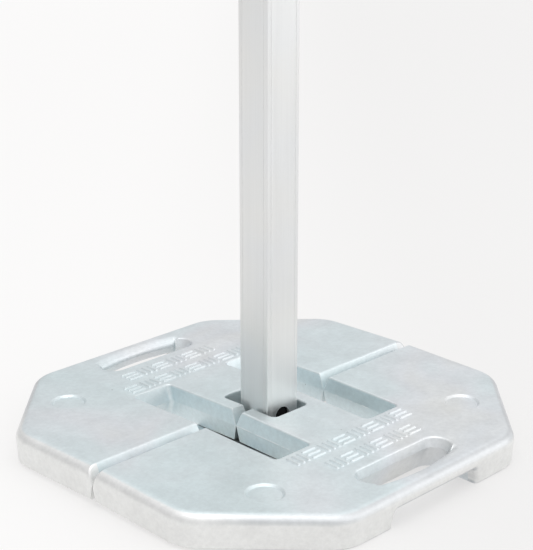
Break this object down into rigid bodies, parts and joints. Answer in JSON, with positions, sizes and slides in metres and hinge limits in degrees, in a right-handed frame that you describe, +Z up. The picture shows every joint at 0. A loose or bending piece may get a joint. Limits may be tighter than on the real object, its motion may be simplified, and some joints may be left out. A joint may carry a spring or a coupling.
{
  "type": "stanchion base",
  "caption": "Ballast base for an upright: cast half plates with handles and slots close round a square tube post standing on a thin foot plate.",
  "frame": {"origin": "on the floor at the middle of the two-part base, where the split between the halves crosses its centre line", "axes": "+Z up along the post, X along the split, +Y towards the rear half"},
  "size_m": [0.429, 0.4292, 0.5],
  "materials": {
    "zinc_casting": "zinc plated, satin",
    "post_aluminium": "matt anodised",
    "plug_black": "moulded, matt",
    "plate_steel": "zinc plated",
    "screw_steel": "zinc plated"
  },
  "bodies": {
    "post": {"post_tube": "post_aluminium", "foot_plate": "plate_steel", "foot_plug": "plug_black", "foot_screw": "screw_steel", "foot_washer": "screw_steel", "foot_nut": "screw_steel"},
    "rear_half": {"rear_half": "zinc_casting"},
    "front_half": {"front_half": "zinc_casting"}
  },
  "joints": [
    {"name": "rear_half_slide", "type": "slide", "parent": "post", "child": "rear_half", "axis": [0, 1, 0], "range_m": [0, 0.15]},
    {"name": "front_half_slide", "type": "slide", "parent": "post", "child": "front_half", "axis": [0, -1, 0], "range_m": [0, 0.15]}
  ]
}
